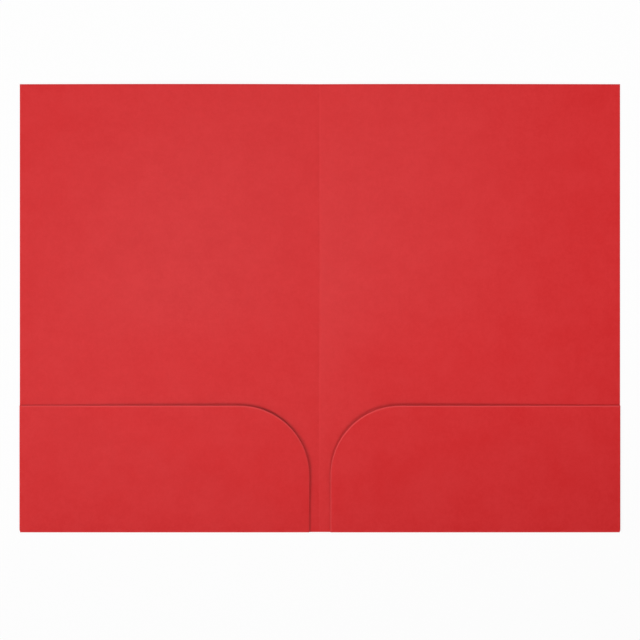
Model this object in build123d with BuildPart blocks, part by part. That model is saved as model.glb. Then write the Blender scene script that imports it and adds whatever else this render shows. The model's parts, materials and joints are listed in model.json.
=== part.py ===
from build123d import *
import os

# Two-pocket paper folder, lying open and flat with its inside up.
# The real folder is one die-cut sheet of cover stock, creased, folded and glued.
# Here each panel between creases is a piece, and so is each fold and each line of glue.
# X runs across the open folder, Y up the page and Z up from the table.
# The origin is on the table, under the middle of the spine.
# The left half is modelled, and the right half is its mirror image.

# Sheet sizes, in millimetres
stock_thickness = 0.32
cover_width = 151.2
cover_height = 228.6

# Spine sizes
closing_clearance = 2.4  # room left between the two pockets when the folder is shut
bead_width = 1.2
bead_height = 0.12

# Pocket sizes
pocket_height = 64.7
pocket_corner_radius = 35.6
pocket_spine_gap = 5.4  # from the middle of the spine to the pocket's open side
pocket_overhang = 0.12  # how far the pocket's side fold stands out past the cover
cut_setback = 0.15  # how far the cut bottom edge at the spine stays inside the bottom fold
bend_clearance = 0.05  # slit along the line where the pocket's free corner bends
corner_rest_angle = 1.2  # degrees that the free corner stands up by itself

# Glue tab sizes
tab_width = 14.0
tab_taper = 5.0
tab_foot_clearance = 1.5
glue_thickness = 0.06
glue_margin = 2.5  # bare card left all round the glue

# Heights of the layers
tab_underside = stock_thickness + glue_thickness
pocket_gap = glue_thickness + stock_thickness  # the tab and its glue hold the pocket open this far
pocket_underside = stock_thickness + pocket_gap
pocket_rise = pocket_gap + stock_thickness  # from the cover's inner face to the pocket's outer face

# Places across the sheet
spine_width = 2 * pocket_rise + closing_clearance
cover_inner = -spine_width / 2
cover_outer = cover_inner - cover_width
pocket_inner = -pocket_spine_gap
pocket_outer = cover_outer - pocket_overhang + stock_thickness
tab_inner = pocket_outer + tab_width

# Places up the sheet
top_edge = cover_height / 2
bottom_edge = -cover_height / 2
fold_inner_radius = pocket_gap / 2
fold_outer_radius = fold_inner_radius + stock_thickness
fold_line = bottom_edge + fold_outer_radius
cut_edge = bottom_edge + cut_setback
pocket_top = bottom_edge + pocket_height
tab_foot = fold_line + tab_foot_clearance

# The free corner of the pocket bends along the line from the top of the side fold
# to the spine end of the bottom fold.
bend_start = Vector(pocket_outer, pocket_top)
bend_run = Vector(pocket_inner, fold_line) - bend_start
bend_plane = Plane(origin=bend_start, x_dir=bend_run, z_dir=Axis.Z.direction.cross(bend_run))
pocket_face = pocket_underside + stock_thickness
bend_axis = Axis(origin=(pocket_outer, pocket_top, pocket_face), direction=bend_run)

# Cover, notched along its bottom where the pocket's fold takes over from the cut edge
with BuildPart() as cover:
    with BuildSketch(Plane.XY):
        with BuildLine():
            Polyline(
                (cover_outer, top_edge),
                (cover_inner, top_edge),
                (cover_inner, cut_edge),
                (pocket_inner, cut_edge),
                (pocket_inner, fold_line),
                (cover_outer, fold_line),
                close=True,
            )
        make_face()
    extrude(amount=stock_thickness)

# Bottom fold, where the sheet turns up and over to become the pocket
with BuildPart() as bottom_fold:
    with BuildSketch(Plane.YZ.offset(pocket_outer)):
        with BuildLine():
            fold_centre = (fold_line, fold_outer_radius)
            outside = CenterArc(fold_centre, fold_outer_radius, 90, 180)
            inside = CenterArc(fold_centre, fold_inner_radius, 90, 180)
            Line(outside @ 0, inside @ 0)
            Line(outside @ 1, inside @ 1)
        make_face()
    extrude(amount=pocket_inner - pocket_outer)

# Outline of the whole pocket front, with its round free corner
with BuildSketch(Plane.XY.offset(pocket_underside)) as pocket_outline:
    with BuildLine():
        corner = FilletPolyline(
            (pocket_outer, pocket_top),
            (pocket_inner, pocket_top),
            (pocket_inner, fold_line),
            radius=pocket_corner_radius,
        )
        Polyline(corner @ 1, (pocket_outer, fold_line), corner @ 0)
    make_face()

# Pocket front, the part that the side and bottom folds hold down
with BuildPart() as pocket_panel:
    extrude(pocket_outline.sketch, amount=stock_thickness)
    split(bisect_by=bend_plane.offset(-bend_clearance / 2), keep=Keep.BOTTOM)

# Free corner of the pocket, which stands a little proud and lifts to let sheets in
with BuildPart() as flat_corner:
    extrude(pocket_outline.sketch, amount=stock_thickness)
    split(bisect_by=bend_plane.offset(bend_clearance / 2), keep=Keep.TOP)

with BuildPart() as pocket_free_corner:
    add(flat_corner.part.rotate(bend_axis, corner_rest_angle))

# Side fold, where the pocket turns under to become the glue tab
with BuildPart() as side_fold:
    with BuildSketch(Plane.XZ.offset(-pocket_top)):
        with BuildLine():
            turn = CenterArc((pocket_outer, pocket_underside), stock_thickness, 90, 180)
            Line(turn @ 0, turn @ 1)
        make_face()
    extrude(amount=pocket_top - fold_line)

# Glue tab, folded flat under the pocket with both ends tapered
with BuildPart() as glue_tab:
    with BuildSketch(Plane.XY.offset(tab_underside)):
        with BuildLine():
            Polyline(
                (pocket_outer, pocket_top),
                (tab_inner, pocket_top - tab_taper),
                (tab_inner, tab_foot + tab_taper),
                (pocket_outer, tab_foot),
                close=True,
            )
        make_face()
    extrude(amount=stock_thickness)

# Line of glue between the tab and the cover
with BuildPart() as glue_strip:
    with BuildSketch(Plane.XY.offset(stock_thickness)):
        with Locations(((pocket_outer + tab_inner) / 2, (pocket_top + tab_foot) / 2)):
            Rectangle(tab_width - 2 * glue_margin, pocket_top - tab_foot - 2 * (tab_taper + glue_margin))
    extrude(amount=glue_thickness)

# Spine strip, with the score's raised bead inside and its groove outside
with BuildPart() as spine_strip:
    with BuildSketch(Plane.XZ.offset(-top_edge)):
        with BuildLine():
            groove = ThreePointArc((-bead_width / 2, 0), (0, bead_height), (bead_width / 2, 0))
            bead = ThreePointArc(
                (bead_width / 2, stock_thickness),
                (0, stock_thickness + bead_height),
                (-bead_width / 2, stock_thickness),
            )
            Polyline(groove @ 1, (-cover_inner, 0), (-cover_inner, stock_thickness), bead @ 0)
            Polyline(bead @ 1, (cover_inner, stock_thickness), (cover_inner, 0), groove @ 0)
        make_face()
    extrude(amount=top_edge - cut_edge)

# Each piece of the left half, and its mirror image across the spine, goes to its own file
os.makedirs("parts", exist_ok=True)

half_pieces = {
    "cover": cover,
    "bottom_fold": bottom_fold,
    "pocket_panel": pocket_panel,
    "pocket_free_corner": pocket_free_corner,
    "side_fold": side_fold,
    "glue_tab": glue_tab,
    "glue_strip": glue_strip,
}

for piece_name, left_piece in half_pieces.items():
    with BuildPart() as right_piece:
        mirror(left_piece.part, about=Plane.YZ)
    left_piece.part.label = "left_" + piece_name
    right_piece.part.label = "right_" + piece_name
    for piece in (left_piece, right_piece):
        export_step(piece.part, f"parts/{piece.part.label}.step")

spine_strip.part.label = "spine_strip"
export_step(spine_strip.part, "parts/spine_strip.step")

# The sizes that the joints and mounts are stated from
print("folder shuts about x 0, z", stock_thickness + spine_width / 2)
print("spine strip turns about x", cover_inner, "z", stock_thickness)
print("free corner bends about", bend_axis)
print("pocket mouth at y", pocket_top, "between x", pocket_outer, pocket_inner)
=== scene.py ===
"""Looks of a two-pocket paper folder that lies open with its inside up.

The folder is one die-cut sheet of red card, scored down the middle, with its bottom turned up into two
pockets. Each pocket's outer end is turned under as a tab and glued to the cover. The pieces are cut flat
and then folded, as the card is. Lengths are in metres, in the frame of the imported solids: X runs across
the open folder, Y up the page and Z up from the table.
"""

import json
import logging
import math
from collections.abc import Callable, Iterable, Sequence
from dataclasses import dataclass, field
from enum import Enum
from typing import Any

import bmesh
import bpy
from mathutils import Matrix, Vector


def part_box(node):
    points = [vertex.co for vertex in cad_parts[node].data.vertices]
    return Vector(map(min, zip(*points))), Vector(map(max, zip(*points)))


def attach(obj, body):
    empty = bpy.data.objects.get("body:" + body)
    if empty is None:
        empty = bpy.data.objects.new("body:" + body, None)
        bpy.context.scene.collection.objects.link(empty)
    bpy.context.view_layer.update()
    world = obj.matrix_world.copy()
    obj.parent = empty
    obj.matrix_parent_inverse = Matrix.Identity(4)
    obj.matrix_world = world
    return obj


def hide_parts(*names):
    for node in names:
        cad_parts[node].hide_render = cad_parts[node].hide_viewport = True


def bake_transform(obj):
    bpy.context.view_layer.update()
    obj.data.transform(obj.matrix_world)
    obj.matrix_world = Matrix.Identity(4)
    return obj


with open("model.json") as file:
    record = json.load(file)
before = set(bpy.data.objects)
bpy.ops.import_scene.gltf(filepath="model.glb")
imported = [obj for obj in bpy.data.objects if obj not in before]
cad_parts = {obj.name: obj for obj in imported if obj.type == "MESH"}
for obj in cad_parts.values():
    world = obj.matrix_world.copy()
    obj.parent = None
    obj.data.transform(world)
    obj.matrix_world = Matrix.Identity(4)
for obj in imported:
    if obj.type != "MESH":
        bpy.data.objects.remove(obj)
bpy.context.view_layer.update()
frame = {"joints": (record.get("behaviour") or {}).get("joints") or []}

MM = 0.001
SHEET_MAP = "sheet"
# mask of how pale each cut edge is painted: wear, and along the pockets' mouths a painted highlight
CUT_EDGE = "cut_edge"
CREASE = "crease"

log = logging.getLogger("folder")

# Where a point of the flat card ends up, given its place on the card and its height from mid-thickness
Placing = Callable[[Vector], Vector]

# A place in the studio
Point = tuple[float, float, float]


class Side(Enum):
    """The two halves of the folder, each with the sign of its X."""

    LEFT = -1
    RIGHT = 1

    @property
    def word(self) -> str:
        """Gives the side's name as the solids write it."""
        return self.name.lower()


def smooth_step(share: float) -> float:
    """Eases a share of a span, held between 0 and 1, in and out."""
    held = min(max(share, 0.0), 1.0)
    return held * held * (3 - 2 * held)


def spread(start: float, end: float, spacing: float) -> list[float]:
    """Divides a span evenly.

    Args:
        start: Where the span starts.
        end: Where the span ends.
        spacing: The widest step between two places.

    Returns:
        The places inside the span, without its ends.
    """
    steps = max(1, math.ceil(abs(end - start) / spacing))
    return [start + (end - start) * step / steps for step in range(1, steps)]


@dataclass(frozen=True)
class FolderSizes:
    """Sizes of the folder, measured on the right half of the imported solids.

    The left half is the same with X turned round.
    """

    stock: float
    cover_outer: float
    cover_top: float
    cut_bottom: float
    spine_half: float
    fold_line: float
    fold_radius: float
    pocket_inner: float
    pocket_outer: float
    pocket_top: float
    tab_inner: float
    tab_foot: float
    glue_low: Vector
    glue_high: Vector
    lift_pivot: Vector
    lift_axis: Vector

    @classmethod
    def measured(cls) -> "FolderSizes":
        """Reads the sizes from the solids' boxes and the right pocket's joint.

        Returns:
            The sizes of this pack.
        """
        cover_low, cover_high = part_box("right_cover")
        _, spine_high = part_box("spine_strip")
        fold_low, fold_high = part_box("right_bottom_fold")
        _, side_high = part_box("right_side_fold")
        tab_low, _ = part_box("right_glue_tab")
        glue_low, glue_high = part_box("right_glue_strip")
        lift = next(joint for joint in frame["joints"] if joint["name"] == "right_pocket_lift")
        return cls(
            stock=cover_high.z - cover_low.z,
            cover_outer=cover_high.x,
            cover_top=cover_high.y,
            cut_bottom=cover_low.y,
            spine_half=spine_high.x,
            fold_line=fold_high.y,
            fold_radius=fold_high.y - fold_low.y,
            pocket_inner=fold_low.x,
            pocket_outer=fold_high.x,
            pocket_top=side_high.y,
            tab_inner=tab_low.x,
            tab_foot=tab_low.y,
            glue_low=glue_low,
            glue_high=glue_high,
            lift_pivot=Vector(lift["pos_m"]),
            lift_axis=Vector(lift["axis"]).normalized(),
        )


@dataclass(frozen=True)
class Arch:
    """The low arch of one cover off the table, between the spine and the outer edge.

    Its skew moves the top towards the spine, and its spring is the slope at which the score starts it.
    """

    rise: float
    skew: float
    spring: float
    spring_reach: float = 14.0 * MM

    def height(self, distance: float, reach: float) -> float:
        """Gives the arch's height where it is free.

        Args:
            distance: Distance from the spine.
            reach: Distance from the spine to the cover's outer edge.

        Returns:
            The height of the card's underside.
        """
        across = min(distance / reach, 1.0)
        return self.rise * 4 * across * (1 - across) * (1 + self.skew * (1 - 2 * across))

    def kick(self, distance: float) -> float:
        """Gives how far the score springs the card up at a distance from the spine."""
        return self.spring * distance * math.exp(-distance / self.spring_reach)


@dataclass(frozen=True)
class CoverBow:
    """The arches of both covers, of which the right one springs up a little beside the spine.

    The glued double layer at the bottom is stiffer, so the arches grow lower towards the pockets.
    """

    reach: float
    left: Arch = Arch(rise=1.5 * MM, skew=0.33, spring=0.0)
    right: Arch = Arch(rise=1.35 * MM, skew=0.32, spring=0.035)
    pocket_share: float = 0.23
    fade_bottom: float = -52.0 * MM
    fade_top: float = 0.0

    def height(self, x: float, y: float) -> float:
        """Gives how far the card stands off the table.

        Args:
            x: Place across the open folder.
            y: Place up the page.

        Returns:
            The height of the card's underside.
        """
        arch = self.left if x < 0 else self.right
        fade = smooth_step((y - self.fade_bottom) / (self.fade_top - self.fade_bottom))
        share = self.pocket_share + (1 - self.pocket_share) * fade
        return share * arch.height(abs(x), self.reach) + arch.kick(abs(x))


class CardBlank:
    """A piece of card on its way from a flat outline to a folded mesh.

    Flat, its outside face is down, its mid-thickness is at Z 0, and X and Y are places on the sheet.
    """

    edge_round: float = 0.09 * MM
    edge_segments: int = 2
    edge_band: float = 0.85 * MM  # the strip beside a cut in which its wear and painted highlight fade
    snap: float = 0.01 * MM
    wall_slant: float = 0.1  # most that the normal of a cut wall leans up or down
    face_slant: float = 0.9  # least that the normal of a flat face points up or down

    def __init__(self, outline: Sequence[tuple[float, float]], stock: float) -> None:
        """Cuts the outline as one flat face.

        Args:
            outline: The corners of the cut, in order.
            stock: The thickness of the card.
        """
        self.stock = stock
        self.shape = bmesh.new()
        corners = [self.shape.verts.new((x, y, 0)) for x, y in outline]
        self.shape.faces.new(corners)
        self.shape.normal_update()
        self.cut_layer = self.shape.verts.layers.float.new(CUT_EDGE)
        self.crease_layer = self.shape.verts.layers.float.new(CREASE)

    def round_corner(self, corner: tuple[float, float], radius: float, segments: int) -> None:
        """Rounds one square corner of the outline.

        Args:
            corner: Where the corner is.
            radius: The radius of the round.
            segments: How many straight steps the round has.
        """
        nearest = min(self.shape.verts, key=lambda vert: (vert.co.xy - Vector(corner)).length)
        bmesh.ops.bevel(
            self.shape,
            geom=[nearest],
            offset=radius,
            offset_type="OFFSET",
            segments=segments,
            profile=0.5,
            affect="VERTICES",
            material=-1,
        )

    def thicken(self, is_joined: Callable[[Vector], bool], wear_and_highlight: Callable[[Vector], float]) -> None:
        """Gives the cut face its thickness and rounds its cut edges.

        Args:
            is_joined: Says of a place on the outline whether the card goes on there in another piece.
            wear_and_highlight: Says of a place on the outline how pale its cut edge is painted, from 0 to
                1, as wear and as a painted highlight.
        """
        bmesh.ops.inset_region(
            self.shape,
            faces=self.shape.faces[:],
            thickness=self.edge_band,
            use_even_offset=True,
            use_boundary=True,
        )
        bmesh.ops.solidify(self.shape, geom=self.shape.faces[:], thickness=self.stock)
        bmesh.ops.recalc_face_normals(self.shape, faces=self.shape.faces[:])
        lowest = min(vert.co.z for vert in self.shape.verts)
        bmesh.ops.translate(self.shape, verts=self.shape.verts[:], vec=(0, 0, -lowest - self.stock / 2))
        rims = [edge for edge in self.shape.edges if self._is_rim(edge)]
        cut_rims: list[bmesh.types.BMEdge] = []
        for edge in rims:
            if is_joined((edge.verts[0].co + edge.verts[1].co) / 2):
                edge.smooth = False
            else:
                cut_rims.append(edge)
        rounded = bmesh.ops.bevel(
            self.shape,
            geom=cut_rims,
            offset=self.edge_round,
            offset_type="OFFSET",
            segments=self.edge_segments,
            profile=0.5,
            affect="EDGES",
            material=-1,
        )
        # the rounded rim carries the edge's paleness: wear, and where asked a painted highlight
        for vert in rounded["verts"]:
            vert[self.cut_layer] = wear_and_highlight(vert.co)

    def _is_rim(self, edge: bmesh.types.BMEdge) -> bool:
        """Tells whether an edge lies between a face of the card and its cut wall."""
        slants = sorted(abs(face.normal.z) for face in edge.link_faces)
        return len(slants) == 2 and slants[0] < self.wall_slant and slants[1] > self.face_slant

    def rule_across(self, places: Iterable[float]) -> None:
        """Cuts the mesh along lines of constant X, so that it can bend there."""
        for place in places:
            self._rule(Vector((place, 0, 0)), Vector((1, 0, 0)))

    def rule_up(self, places: Iterable[float]) -> None:
        """Cuts the mesh along lines of constant Y, so that it can bend there."""
        for place in places:
            self._rule(Vector((0, place, 0)), Vector((0, 1, 0)))

    def _rule(self, point: Vector, normal: Vector) -> None:
        """Cuts the whole mesh with one plane and keeps both halves."""
        everything = self.shape.verts[:] + self.shape.edges[:] + self.shape.faces[:]
        bmesh.ops.bisect_plane(
            self.shape, geom=everything, dist=self.snap, plane_co=point, plane_no=normal
        )

    def mark_creases(self, strength: Callable[[Vector], float]) -> None:
        """Writes on each point how hard the card is creased there, from 0 to 1."""
        for vert in self.shape.verts:
            vert[self.crease_layer] = strength(vert.co)

    def map_sheet(self, shift: float) -> None:
        """Lays the piece's own map on the flat sheet, in metres, so that patterns follow the folds.

        Args:
            shift: How far along the stock this piece was cut, so that no two pieces look alike.
        """
        layer = self.shape.loops.layers.uv.new(SHEET_MAP)
        for face in self.shape.faces:
            for loop in face.loops:
                loop[layer].uv = loop.vert.co.xy + Vector((shift, 0))

    def place(self, placing: Placing) -> None:
        """Moves each point of the flat card to where it lies on the folded one."""
        for vert in self.shape.verts:
            vert.co = placing(vert.co)

    def finish(self, name: str, material: bpy.types.Material) -> bpy.types.Object:
        """Turns the card into an object.

        Args:
            name: The piece's name.
            material: What the piece is made of.

        Returns:
            The new object, at the origin.
        """
        bmesh.ops.recalc_face_normals(self.shape, faces=self.shape.faces[:])
        if self.shape.calc_volume(signed=True) < 0:
            bmesh.ops.reverse_faces(self.shape, faces=self.shape.faces[:])
        for face in self.shape.faces:
            face.smooth = True
        mesh = bpy.data.meshes.new(name)
        self.shape.to_mesh(mesh)
        self.shape.free()
        mesh.materials.append(material)
        piece = bpy.data.objects.new(name, mesh)
        bpy.context.scene.collection.objects.link(piece)
        log.info("%s: %d faces", name, len(mesh.polygons))
        return piece


def linear_colour(hex_code: str) -> tuple[float, float, float, float]:
    """Turns an sRGB colour into the linear one that a shader takes, by the curve of the sRGB standard.

    Args:
        hex_code: The colour as # and six hex digits.

    Returns:
        Red, green, blue and an alpha of 1.
    """
    levels = [int(hex_code[start : start + 2], 16) / 255 for start in (1, 3, 5)]
    red, green, blue = (
        level / 12.92 if level <= 0.04045 else ((level + 0.055) / 1.055) ** 2.4 for level in levels
    )
    return red, green, blue, 1.0


def add_node(
    tree: bpy.types.NodeTree,
    kind: str,
    settings: dict[str, Any] | None = None,
    inputs: dict[str | int, Any] | None = None,
) -> bpy.types.Node:
    """Adds one node with its settings, values and links.

    Args:
        tree: The tree that the node goes into.
        kind: Blender's name for the type of node.
        settings: The node's own properties.
        inputs: A value or an output socket for each input, by the input's name or number.

    Returns:
        The new node.
    """
    node = tree.nodes.new(kind)
    for name, value in (settings or {}).items():
        setattr(node, name, value)
    for name, value in (inputs or {}).items():
        if isinstance(value, bpy.types.NodeSocket):
            tree.links.new(value, node.inputs[name])
        else:
            node.inputs[name].default_value = value
    return node


def new_material(name: str) -> bpy.types.Material:
    """Makes a material with an empty node tree.

    Args:
        name: The material's name.

    Returns:
        The new material.
    """
    material = bpy.data.materials.new(name)
    material.use_nodes = True
    material.node_tree.nodes.clear()
    return material


@dataclass(frozen=True)
class RedCard:
    """Dyed-through cover stock, smoothed between rollers on the paper machine.

    It gives the eye an even deep red with a broad soft sheen, faint clouds where the pulp settled, short
    fibres pressed flat in the face, and a paler, rougher look where it is cut or creased. This paleness
    is partly worn card and partly painted light: a painted highlight along the pockets' mouths and a
    painted glint along the score.
    """

    name: str = "red_dyed_cover_stock"
    face: str = "#CB1B1E"
    pale_face: str = "#D3292C"
    # pale colour of worn cut edges and creases, also used as the painted highlight along the pockets'
    # mouths and the painted glint along the score
    raw_edge_and_highlight: str = "#DC3C3E"
    roughness: float = 0.35
    roughness_spread: float = 0.02
    edge_roughness: float = 0.5
    crease_wear_and_glint: float = 0.35  # most of the pale colour that shows in a crease: wear, and along the score a painted glint
    full_wear_and_highlight: float = 0.6  # paleness of a cut, worn and painted as a highlight, from which the card shows the pale colour alone
    specular_level: float = 0.375
    cloud_size: float = 20.0 * MM
    cloud_detail: float = 5.0
    cloud_roughness: float = 1.0
    cloud_middle: float = 0.5  # level of the noise that is neither pale nor deep
    cloud_contrast: float = 3.3
    tooth_size: float = 0.45 * MM
    tooth_detail: float = 2.0
    tooth_roughness: float = 0.6
    fibre_length: float = 1.6 * MM
    fibre_width: float = 0.16 * MM  # real fibres are a fifth as wide, too fine to show
    fibre_turns: tuple[float, ...] = (12.0, 74.0, 131.0)
    fibre_detail: float = 1.0
    fibre_waver: float = 0.4
    fibre_tint: float = 0.35  # share of the fibres in the colour's grain, the rest being clouds
    fibre_relief: float = 0.5  # share of the fibres in the relief, the rest being tooth
    relief: float = 0.004 * MM

    def material(self) -> bpy.types.Material:
        """Builds the card's material on the sheet's own map.

        Returns:
            The finished material.
        """
        material = new_material(self.name)
        tree = material.node_tree
        sheet = add_node(tree, "ShaderNodeUVMap", {"uv_map": SHEET_MAP}).outputs["UV"]
        pulp = add_node(
            tree,
            "ShaderNodeTexNoise",
            {"noise_dimensions": "2D"},
            {
                "Vector": sheet,
                "Scale": 1 / self.cloud_size,
                "Detail": self.cloud_detail,
                "Roughness": self.cloud_roughness,
            },
        ).outputs["Fac"]
        cloud_half_span = self.cloud_middle / self.cloud_contrast
        clouds = add_node(
            tree,
            "ShaderNodeMapRange",
            None,
            {
                "Value": pulp,
                "From Min": self.cloud_middle - cloud_half_span,
                "From Max": self.cloud_middle + cloud_half_span,
            },
        ).outputs["Result"]
        tooth = add_node(
            tree,
            "ShaderNodeTexNoise",
            {"noise_dimensions": "2D"},
            {
                "Vector": sheet,
                "Scale": 1 / self.tooth_size,
                "Detail": self.tooth_detail,
                "Roughness": self.tooth_roughness,
            },
        ).outputs["Fac"]
        fibres = self._fibres(tree, sheet)
        # how pale each cut edge is painted: worn card, and along the pockets' mouths a painted highlight
        near_cut = add_node(tree, "ShaderNodeAttribute", {"attribute_name": CUT_EDGE}).outputs["Fac"]
        cut = add_node(
            tree,
            "ShaderNodeMapRange",
            {"interpolation_type": "SMOOTHSTEP"},
            {"Value": near_cut, "From Max": self.full_wear_and_highlight},
        ).outputs["Result"]
        # creases painted paler, broken up by the tooth: worn folds, and along the score a painted glint
        crease = add_node(tree, "ShaderNodeAttribute", {"attribute_name": CREASE}).outputs["Fac"]
        broken = add_node(
            tree, "ShaderNodeMath", {"operation": "MULTIPLY"}, {0: crease, 1: tooth}
        ).outputs["Value"]
        worn_and_glinting_crease = add_node(
            tree, "ShaderNodeMath", {"operation": "MULTIPLY"}, {0: broken, 1: self.crease_wear_and_glint}
        ).outputs["Value"]
        # share of the pale colour: wear, a painted highlight along the pockets' mouths and a painted
        # glint along the score
        worn_and_highlit = add_node(
            tree, "ShaderNodeMath", {"operation": "MAXIMUM"}, {0: cut, 1: worn_and_glinting_crease}
        ).outputs["Value"]

        grain = add_node(
            tree,
            "ShaderNodeMix",
            {"data_type": "FLOAT"},
            {"Factor": self.fibre_tint, "A": clouds, "B": fibres},
        ).outputs["Result"]
        dyed = add_node(
            tree,
            "ShaderNodeMix",
            {"data_type": "RGBA"},
            {"Factor": grain, "A": linear_colour(self.face), "B": linear_colour(self.pale_face)},
        ).outputs["Result"]
        # mixes in the pale colour: worn edges and creases, a painted highlight and a painted glint
        colour = add_node(
            tree,
            "ShaderNodeMix",
            {"data_type": "RGBA"},
            {"Factor": worn_and_highlit, "A": dyed, "B": linear_colour(self.raw_edge_and_highlight)},
        ).outputs["Result"]
        face_roughness = add_node(
            tree,
            "ShaderNodeMapRange",
            None,
            {
                "Value": grain,
                "To Min": self.roughness - self.roughness_spread,
                "To Max": self.roughness + self.roughness_spread,
            },
        ).outputs["Result"]
        roughness = add_node(
            tree,
            "ShaderNodeMix",
            {"data_type": "FLOAT"},
            {"Factor": worn_and_highlit, "A": face_roughness, "B": self.edge_roughness},
        ).outputs["Result"]
        height = add_node(
            tree,
            "ShaderNodeMix",
            {"data_type": "FLOAT"},
            {"Factor": self.fibre_relief, "A": tooth, "B": fibres},
        ).outputs["Result"]
        normal = add_node(
            tree, "ShaderNodeBump", None, {"Height": height, "Distance": self.relief}
        ).outputs["Normal"]
        surface = add_node(
            tree,
            "ShaderNodeBsdfPrincipled",
            None,
            {
                "Base Color": colour,
                "Roughness": roughness,
                "Specular IOR Level": self.specular_level,
                "Normal": normal,
            },
        )
        add_node(tree, "ShaderNodeOutputMaterial", None, {"Surface": surface.outputs["BSDF"]})
        return material

    def _fibres(self, tree: bpy.types.NodeTree, sheet: bpy.types.NodeSocket) -> bpy.types.NodeSocket:
        """Lays stretched flecks in several directions over each other.

        Args:
            tree: The material's node tree.
            sheet: The place on the flat sheet.

        Returns:
            A socket that is high on a fibre and low between fibres.
        """
        laid: bpy.types.NodeSocket | None = None
        for turn in self.fibre_turns:
            along = add_node(
                tree,
                "ShaderNodeMapping",
                {"vector_type": "TEXTURE"},
                {
                    "Vector": sheet,
                    "Rotation": (0, 0, math.radians(turn)),
                    "Scale": (self.fibre_length, self.fibre_width, 1),
                },
            ).outputs["Vector"]
            fleck = add_node(
                tree,
                "ShaderNodeTexNoise",
                {"noise_dimensions": "2D"},
                {
                    "Vector": along,
                    "Scale": 1.0,
                    "Detail": self.fibre_detail,
                    "Distortion": self.fibre_waver,
                },
            ).outputs["Fac"]
            if laid is None:
                laid = fleck
            else:
                laid = add_node(
                    tree, "ShaderNodeMath", {"operation": "MAXIMUM"}, {0: laid, 1: fleck}
                ).outputs["Value"]
        return laid


@dataclass(frozen=True)
class DriedGlue:
    """White paper glue, drawn on in a line and pressed under the tab until it dried.

    It gives the eye a thin pale cream film with a soft gloss and faint streaks along the line.
    """

    name: str = "dried_paper_glue"
    film: str = "#E4DCC6"
    thick_film: str = "#D6CBAE"
    roughness: float = 0.32
    streak_width: float = 2.5 * MM
    streak_length: float = 10.0 * MM
    streak_detail: float = 3.0

    def material(self) -> bpy.types.Material:
        """Builds the glue's material, streaked the way that the nozzle dragged it.

        Returns:
            The finished material.
        """
        material = new_material(self.name)
        tree = material.node_tree
        sheet = add_node(tree, "ShaderNodeUVMap", {"uv_map": SHEET_MAP}).outputs["UV"]
        along = add_node(
            tree,
            "ShaderNodeMapping",
            {"vector_type": "TEXTURE"},
            {"Vector": sheet, "Scale": (self.streak_width, self.streak_length, 1)},
        ).outputs["Vector"]
        streaks = add_node(
            tree,
            "ShaderNodeTexNoise",
            {"noise_dimensions": "2D"},
            {"Vector": along, "Scale": 1.0, "Detail": self.streak_detail},
        ).outputs["Fac"]
        colour = add_node(
            tree,
            "ShaderNodeMix",
            {"data_type": "RGBA"},
            {"Factor": streaks, "A": linear_colour(self.film), "B": linear_colour(self.thick_film)},
        ).outputs["Result"]
        surface = add_node(
            tree,
            "ShaderNodeBsdfPrincipled",
            None,
            {"Base Color": colour, "Roughness": self.roughness},
        )
        add_node(tree, "ShaderNodeOutputMaterial", None, {"Surface": surface.outputs["BSDF"]})
        return material


@dataclass
class CoverSheet:
    """Both covers and the scored spine between them, one stretch of the sheet."""

    sizes: FolderSizes
    bow: CoverBow
    card: bpy.types.Material
    bead_half: float = 0.6 * MM
    bead_height: float = 0.025 * MM  # lower than the solid's, which has to show at all
    edge_wear: float = 0.15
    bead_spacing: float = 0.1 * MM
    spine_spacing: float = 0.2 * MM
    spine_reach: float = 2.6 * MM  # half of the finely ruled strip, which bends when the folder shuts
    panel_spacing: float = 6.0 * MM

    def build(self) -> bpy.types.Object:
        """Cuts, scores and bows the sheet, and bends it at the spine.

        Returns:
            The finished piece.
        """
        sizes = self.sizes
        blank = CardBlank(self._outline(), sizes.stock)
        blank.thicken(self._is_joined, lambda place: self.edge_wear)
        blank.rule_across(self._lines_across())
        blank.rule_up(spread(sizes.fold_line, sizes.cover_top, self.panel_spacing))
        # the score is painted paler along its bead: worn card and a painted glint
        blank.mark_creases(lambda place: self._bead(place.x))
        blank.map_sheet(0.0)
        blank.place(self._placed)
        piece = blank.finish("cover_sheet", self.card)
        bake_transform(piece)
        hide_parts("left_cover", "right_cover", "spine_strip")
        return piece

    def _outline(self) -> list[tuple[float, float]]:
        """Gives the cut, which steps up where the bottom folds take over.

        Returns:
            The corners, in order.
        """
        sizes = self.sizes
        right = [
            (sizes.cover_outer, sizes.cover_top),
            (sizes.cover_outer, sizes.fold_line),
            (sizes.pocket_inner, sizes.fold_line),
            (sizes.pocket_inner, sizes.cut_bottom),
        ]
        return right + [(-x, y) for x, y in reversed(right)]

    def _is_joined(self, place: Vector) -> bool:
        """Tells whether a place on the outline is where the card turns into a bottom fold."""
        at_fold = abs(place.y - self.sizes.fold_line) < CardBlank.snap
        return at_fold and abs(place.x) > self.sizes.pocket_inner

    def _lines_across(self) -> list[float]:
        """Gives the bending lines, close at the bead and wide on the covers.

        Returns:
            The lines' places across the sheet.
        """
        near = spread(0, self.bead_half, self.bead_spacing) + [self.bead_half]
        middle = spread(self.bead_half, self.spine_reach, self.spine_spacing) + [self.spine_reach]
        wide = spread(self.spine_reach, self.sizes.cover_outer, self.panel_spacing)
        right = near + middle + wide
        return [0.0] + right + [-x for x in right]

    def _bead(self, x: float) -> float:
        """Gives the score's rounded profile.

        Args:
            x: Place across the sheet.

        Returns:
            The height as a share, from 0 beside the score to 1 at its middle.
        """
        if abs(x) >= self.bead_half:
            return 0.0
        return math.cos(math.pi / 2 * x / self.bead_half) ** 2

    def _placed(self, flat: Vector) -> Vector:
        """Lifts a point of the flat sheet onto the scored and bowed one."""
        lift = self.sizes.stock / 2 + self.bead_height * self._bead(flat.x)
        return flat + Vector((0, 0, lift + self.bow.height(flat.x, flat.y)))


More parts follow.
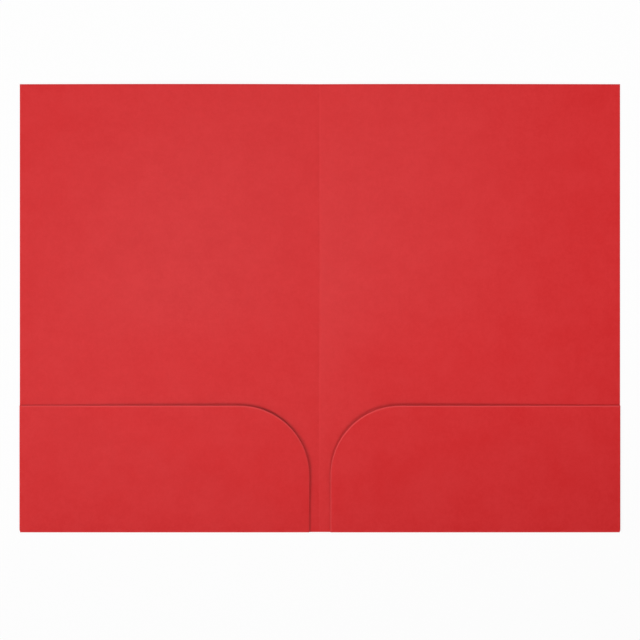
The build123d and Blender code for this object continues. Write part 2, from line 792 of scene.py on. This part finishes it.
@dataclass
class Pocket:
    """One pocket: a bottom fold, a front with a round free corner, a side fold and a glue tab.

    It is worked out on the right half. In the flat cut, Y 0 is where the bottom fold leaves the cover.
    """

    sizes: FolderSizes
    bow: CoverBow
    card: bpy.types.Material
    side: Side
    corner_radius: float = 35.6 * MM
    corner_segments: int = 40
    tab_taper: float = 5.0 * MM
    side_fold_radius: float = 0.008 * MM  # inside the fold, which is pressed almost shut
    fold_steps: int = 12
    fold_hold: float = 0.12 * MM  # to the first line beside a fold, which keeps the face there flat
    # how pale the cut edges are painted: wear, and a painted highlight that is strongest along the mouth
    mouth_wear_and_highlight: float = 1.0
    side_wear_and_highlight: float = 0.25
    fold_wear: float = 0.05
    front_spacing: float = 3.0 * MM
    bend_reach: float = 22.0 * MM
    rest_lift: float = math.radians(1.2)
    bottom_middle: float = field(init=False)
    bottom_length: float = field(init=False)
    side_middle: float = field(init=False)
    side_length: float = field(init=False)
    side_end: float = field(init=False)
    front_end: float = field(init=False)
    tab_end: float = field(init=False)

    def __post_init__(self) -> None:
        """Works out the folds' radii at mid-thickness, and the lengths and ends on the flat cut."""
        sizes = self.sizes
        self.bottom_middle = sizes.fold_radius - sizes.stock / 2
        self.bottom_length = math.pi * self.bottom_middle
        self.side_middle = sizes.stock / 2 + self.side_fold_radius
        self.side_length = math.pi * self.side_middle
        self.side_end = sizes.pocket_outer + self.side_length
        self.front_end = self.bottom_length + sizes.pocket_top - sizes.fold_line
        self.tab_end = self.side_end + sizes.pocket_outer - sizes.tab_inner

    def build(self) -> bpy.types.Object:
        """Cuts the pocket flat, folds it and bends its free corner.

        Returns:
            The finished piece.
        """
        sizes = self.sizes
        blank = CardBlank(self._outline(), sizes.stock)
        free_corner = (sizes.pocket_inner, self.front_end)
        blank.round_corner(free_corner, self.corner_radius, self.corner_segments)
        blank.thicken(self._is_joined, self._worn_and_highlit_edge)
        blank.rule_up(spread(0, self.bottom_length, self.bottom_length / self.fold_steps))
        blank.rule_up([self.bottom_length, self.bottom_length + self.fold_hold])
        blank.rule_up(spread(self.bottom_length, self.front_end, self.front_spacing))
        blank.rule_across(spread(sizes.pocket_inner, sizes.pocket_outer, self.front_spacing))
        blank.rule_across([sizes.pocket_outer - self.fold_hold, sizes.pocket_outer])
        blank.rule_across([self.side_end, self.side_end + self.fold_hold])
        blank.rule_across(spread(sizes.pocket_outer, self.side_end, self.side_length / self.fold_steps))
        blank.rule_across(spread(self.side_end, self.tab_end, self.front_spacing))
        blank.mark_creases(self._creased)
        blank.map_sheet(self.side.value * sizes.cover_outer)
        blank.place(self._placed)
        piece = blank.finish(f"{self.side.word}_pocket", self.card)
        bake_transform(piece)
        solids = ("bottom_fold", "pocket_panel", "pocket_free_corner", "side_fold", "glue_tab")
        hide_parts(*(f"{self.side.word}_{solid}" for solid in solids))
        return piece

    def _outline(self) -> list[tuple[float, float]]:
        """Gives the flat cut: X across the folder and Y up the sheet from the bottom fold.

        Returns:
            The corners, in order, before the free one is rounded.
        """
        sizes = self.sizes
        tab_start = self.bottom_length + sizes.tab_foot - sizes.fold_line
        return [
            (sizes.pocket_inner, 0),
            (sizes.pocket_outer, 0),
            (sizes.pocket_outer, self.bottom_length),
            (self.side_end, tab_start),
            (self.tab_end, tab_start + self.tab_taper),
            (self.tab_end, self.front_end - self.tab_taper),
            (self.side_end, self.front_end),
            (sizes.pocket_inner, self.front_end),
        ]

    @staticmethod
    def _is_joined(place: Vector) -> bool:
        """Tells whether a place on the outline is where the bottom fold leaves the cover."""
        return abs(place.y) < CardBlank.snap

    def _worn_and_highlit_edge(self, flat: Vector) -> float:
        """Gives how pale a cut edge is painted: some wear all round, and most at the mouth, where it is a
        painted highlight along the rim.
        """
        up_corner = smooth_step(1 - (self.front_end - flat.y) / self.corner_radius)
        return self.side_wear_and_highlight + (self.mouth_wear_and_highlight - self.side_wear_and_highlight) * up_corner

    def _creased(self, flat: Vector) -> float:
        """Gives how hard the card is creased: a little within the two folds, and nowhere else.

        Args:
            flat: A point of the flat cut.

        Returns:
            The strength of the crease, from 0 to 1.
        """
        in_bottom = 0 < flat.y < self.bottom_length
        in_side = self.sizes.pocket_outer < flat.x < self.side_end
        return self.fold_wear if in_bottom or in_side else 0.0

    def _placed(self, flat: Vector) -> Vector:
        """Folds a point of the flat pocket up and under, lifts the free corner and adds the bow.

        Args:
            flat: A point of the flat cut, with its height from mid-thickness.

        Returns:
            The point on the finished pocket, on its own side.
        """
        folded = self._folded_under(flat) if flat.x > self.sizes.pocket_outer else self._folded_up(flat)
        place = self._sided(self._lifted(folded))
        place.z += self.bow.height(place.x, place.y)
        return place

    def _folded_up(self, flat: Vector) -> Vector:
        """Takes a point round the bottom fold and onto the pocket's front.

        Args:
            flat: A point of the flat cut, with its height from mid-thickness.

        Returns:
            The point on the folded pocket of the right half.
        """
        sizes = self.sizes
        radius = self.bottom_middle - flat.z
        turn = min(max(flat.y, 0) / self.bottom_middle, math.pi)
        past = max(flat.y - self.bottom_length, 0)
        y = sizes.fold_line - radius * math.sin(turn) + past
        return Vector((flat.x, y, sizes.fold_radius - radius * math.cos(turn)))

    def _folded_under(self, flat: Vector) -> Vector:
        """Takes a point of the front round the side fold and onto the glue tab.

        Args:
            flat: A point of the flat cut, with its height from mid-thickness.

        Returns:
            The point on the folded pocket of the right half.
        """
        sizes = self.sizes
        front = self._folded_up(Vector((sizes.pocket_outer, flat.y, 0)))
        radius = self.side_middle - flat.z
        run = flat.x - sizes.pocket_outer
        turn = min(run / self.side_middle, math.pi)
        past = max(run - self.side_length, 0)
        x = sizes.pocket_outer + radius * math.sin(turn) - past
        return Vector((x, front.y, front.z - self.side_middle + radius * math.cos(turn)))

    def _bend_direction(self) -> Vector:
        """Gives the level direction from the bend line towards the free corner."""
        direction = self.sizes.lift_axis.cross(Vector((0, 0, 1)))
        return direction if direction.x < 0 else -direction

    def _lifted(self, place: Vector) -> Vector:
        """Turns a point up about the bend line, the more the further it is towards the free corner.

        Args:
            place: A point on the folded pocket of the right half.

        Returns:
            The point on the pocket with its corner at rest.
        """
        from_line = place - self.sizes.lift_pivot
        share = smooth_step(from_line.dot(self._bend_direction()) / self.bend_reach)
        turn = Matrix.Rotation(share * self.rest_lift, 3, self.sizes.lift_axis)
        return self.sizes.lift_pivot + turn @ from_line

    def _sided(self, vector: Vector) -> Vector:
        """Puts a vector that was worked out for the right half on this pocket's side."""
        return Vector((vector.x * self.side.value, vector.y, vector.z))


@dataclass
class GlueLine:
    """The dried glue between one tab and the cover, spread thin and round at its ends."""

    sizes: FolderSizes
    bow: CoverBow
    glue: bpy.types.Material
    side: Side
    end_radius: float = 3.2 * MM
    end_segments: int = 8
    edge_share: float = 1 / 3  # share of the film's thickness by which its edges are rounded
    spacing: float = 3.0 * MM

    def build(self) -> bpy.types.Object:
        """Spreads the glue and rides it on its cover.

        Returns:
            The finished piece.
        """
        low, high = self.sizes.glue_low, self.sizes.glue_high
        corners = [(low.x, low.y), (high.x, low.y), (high.x, high.y), (low.x, high.y)]
        thickness = high.z - low.z
        film = CardBlank(corners, thickness)
        film.edge_round = thickness * self.edge_share
        for corner in corners:
            film.round_corner(corner, self.end_radius, self.end_segments)
        film.thicken(lambda place: False, lambda place: 0.0)
        film.rule_up(spread(low.y, high.y, self.spacing))
        film.map_sheet(0.0)
        film.place(self._placed)
        piece = film.finish(f"{self.side.word}_glue_line", self.glue)
        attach(piece, f"{self.side.word}_panel")
        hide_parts(f"{self.side.word}_glue_strip")
        return piece

    def _placed(self, flat: Vector) -> Vector:
        """Lays a point of the film on the bowed cover.

        Args:
            flat: A point of the flat film, with its height from mid-thickness.

        Returns:
            The point on its own side of the folder.
        """
        middle = (self.sizes.glue_low.z + self.sizes.glue_high.z) / 2
        x = flat.x * self.side.value
        return Vector((x, flat.y, flat.z + middle + self.bow.height(x, flat.y)))


def hang_light(light: bpy.types.Light, place: Point, aim: Point) -> None:
    """Hangs a light in the scene and turns it.

    Args:
        light: The light, which gives the lamp its name.
        place: Where it hangs.
        aim: What it points at.
    """
    lamp = bpy.data.objects.new(light.name, light)
    lamp.location = place
    lamp.rotation_mode = "QUATERNION"
    lamp.rotation_quaternion = (Vector(aim) - Vector(place)).to_track_quat("-Z", "Y")
    bpy.context.scene.collection.objects.link(lamp)


@dataclass(frozen=True)
class SoftLamp:
    """A square soft lamp that points at the middle of the folder."""

    name: str
    place: Point
    width: float
    power: float
    aim: Point = (0.0, 0.0, 0.0)

    def hang(self) -> None:
        """Makes the light and hangs it."""
        light = bpy.data.lights.new(self.name, "AREA")
        light.shape = "SQUARE"
        light.size = self.width
        light.energy = self.power
        hang_light(light, self.place, self.aim)


@dataclass(frozen=True)
class SpotLamp:
    """A small round lamp with a beam that ends in a soft edge."""

    name: str
    place: Point
    aim: Point
    beam: float
    soft_share: float
    radius: float
    power: float

    def hang(self) -> None:
        """Makes the light and hangs it."""
        light = bpy.data.lights.new(self.name, "SPOT")
        light.spot_size = self.beam
        light.spot_blend = self.soft_share
        light.shadow_soft_size = self.radius
        light.energy = self.power
        hang_light(light, self.place, self.aim)


@dataclass
class Studio:
    """A wide white table in a light tent, with four lamps and a camera straight overhead.

    The tent glows all round, less at its foot, and is almost dark at its opening overhead, where the
    camera looks in. Two small lamps overhead and a large one far to the left are soft. The beam of the
    spot in front ends across the foot of the folder, so that the light falls off there.
    """

    view_centre: tuple[float, float] = (0.04 * MM, -5.99 * MM)
    view_width: float = 326.5 * MM
    camera_height: float = 1.5
    sensor_width: float = 36.0  # in millimetres, as a camera takes it
    table_drop: float = 0.25 * MM  # keeps the table clear of the card's underside
    table_size: float = 30.0  # so wide that its far edge shows in the lowest views alone
    table_colour: str = "#F8F8F8"
    white: str = "#FEFEFE"
    white_share: float = 0.92  # share of plain white in what is seen of the table, the rest taking shadow
    tent_glow: float = 0.7
    foot_share: float = 0.3  # share of the tent's glow at its foot
    bright_height: float = math.radians(37)  # angle above the table from which the walls glow in full
    opening_glow: float = 0.02
    opening_start: float = math.radians(45)  # angle from straight up at which the glow starts to fade
    opening_end: float = math.radians(12)  # angle from straight up at which it has faded
    lamps: tuple[SoftLamp | SpotLamp, ...] = (
        SoftLamp("left_overhead_lamp", place=(-0.18, 0.03, 1.1), width=0.19, power=0.54),
        SoftLamp("right_overhead_lamp", place=(0.09, 0.127, 1.1), width=0.25, power=0.4),
        SoftLamp("left_side_lamp", place=(-4.83, -0.73, 4.2), width=2.8, power=185.0),
        SpotLamp(
            "front_spot",
            place=(0.9, -2.3, 2.3),
            aim=(-0.73, 2.4, 0.0),
            beam=math.radians(42),
            soft_share=0.237,
            radius=0.04,
            power=152.0,
        ),
    )

    def build(self) -> None:
        """Sets up the table, the lamps, the tent and the camera."""
        bpy.context.scene.view_settings.view_transform = "Standard"
        self._table()
        for lamp in self.lamps:
            lamp.hang()
        self._tent()
        self._camera()

    def _table(self) -> None:
        """Lays the table, which is white to the camera and still takes the folder's shadow."""
        mesh = bpy.data.meshes.new("table")
        shape = bmesh.new()
        bmesh.ops.create_grid(shape, x_segments=1, y_segments=1, size=self.table_size / 2)
        bmesh.ops.translate(shape, verts=shape.verts[:], vec=(0, 0, -self.table_drop))
        shape.to_mesh(mesh)
        shape.free()
        table = bpy.data.objects.new("table", mesh)
        bpy.context.scene.collection.objects.link(table)
        material = new_material("white_table")
        tree = material.node_tree
        seen = self._seen_directly(tree)
        share = add_node(
            tree, "ShaderNodeMath", {"operation": "MULTIPLY"}, {0: seen, 1: self.white_share}
        ).outputs["Value"]
        matt = add_node(tree, "ShaderNodeBsdfDiffuse", None, {"Color": linear_colour(self.table_colour)})
        white = add_node(tree, "ShaderNodeEmission", None, {"Color": linear_colour(self.white)})
        mixed = add_node(
            tree,
            "ShaderNodeMixShader",
            None,
            {0: share, 1: matt.outputs["BSDF"], 2: white.outputs["Emission"]},
        )
        add_node(tree, "ShaderNodeOutputMaterial", None, {"Surface": mixed.outputs["Shader"]})
        mesh.materials.append(material)

    @staticmethod
    def _seen_directly(tree: bpy.types.NodeTree) -> bpy.types.NodeSocket:
        """Finds the rays that see a thing directly, in a mirror or through glass.

        Args:
            tree: The material's node tree.

        Returns:
            A socket that is 1 on a ray from the camera, from a gloss or through glass, and else 0.
        """
        path = add_node(tree, "ShaderNodeLightPath")
        sharp = add_node(
            tree,
            "ShaderNodeMath",
            {"operation": "MAXIMUM"},
            {0: path.outputs["Is Glossy Ray"], 1: path.outputs["Is Transmission Ray"]},
        ).outputs["Value"]
        return add_node(
            tree,
            "ShaderNodeMath",
            {"operation": "MAXIMUM"},
            {0: path.outputs["Is Camera Ray"], 1: sharp},
        ).outputs["Value"]

    def _tent(self) -> None:
        """Surrounds the scene with the tent's glow, weaker at its foot and almost out at its opening."""
        tent = bpy.data.worlds.new("light_tent")
        tent.use_nodes = True
        tree = tent.node_tree
        tree.nodes.clear()
        direction = add_node(tree, "ShaderNodeTexCoord").outputs["Generated"]
        upward = add_node(tree, "ShaderNodeSeparateXYZ", None, {"Vector": direction}).outputs["Z"]
        walls = add_node(
            tree,
            "ShaderNodeMapRange",
            {"interpolation_type": "SMOOTHSTEP"},
            {"Value": upward, "From Max": math.sin(self.bright_height), "To Min": self.foot_share},
        ).outputs["Result"]
        roof = add_node(
            tree,
            "ShaderNodeMapRange",
            {"interpolation_type": "SMOOTHSTEP"},
            {
                "Value": upward,
                "From Min": math.cos(self.opening_start),
                "From Max": math.cos(self.opening_end),
                "To Min": self.tent_glow,
                "To Max": self.opening_glow,
            },
        ).outputs["Result"]
        glow = add_node(
            tree, "ShaderNodeMath", {"operation": "MULTIPLY"}, {0: walls, 1: roof}
        ).outputs["Value"]
        cloth = add_node(
            tree, "ShaderNodeBackground", None, {"Color": linear_colour(self.white), "Strength": glow}
        )
        add_node(tree, "ShaderNodeOutputWorld", None, {"Surface": cloth.outputs["Background"]})
        bpy.context.scene.world = tent

    def _camera(self) -> None:
        """Hangs the camera over the folder with the page upright in the picture."""
        optics = bpy.data.cameras.new("overhead_camera")
        optics.sensor_width = self.sensor_width
        optics.lens = self.sensor_width * self.camera_height / self.view_width
        camera = bpy.data.objects.new("overhead_camera", optics)
        camera.location = (*self.view_centre, self.camera_height)
        bpy.context.scene.collection.objects.link(camera)
        bpy.context.scene.camera = camera


def main() -> None:
    """Builds the folder and the studio around it."""
    logging.basicConfig(level=logging.INFO, format="%(name)s: %(message)s")
    sizes = FolderSizes.measured()
    bow = CoverBow(sizes.cover_outer)
    card = RedCard().material()
    glue = DriedGlue().material()
    CoverSheet(sizes, bow, card).build()
    for side in Side:
        Pocket(sizes, bow, card, side).build()
        GlueLine(sizes, bow, glue, side).build()
    Studio().build()


if __name__ == "__main__":
    main()
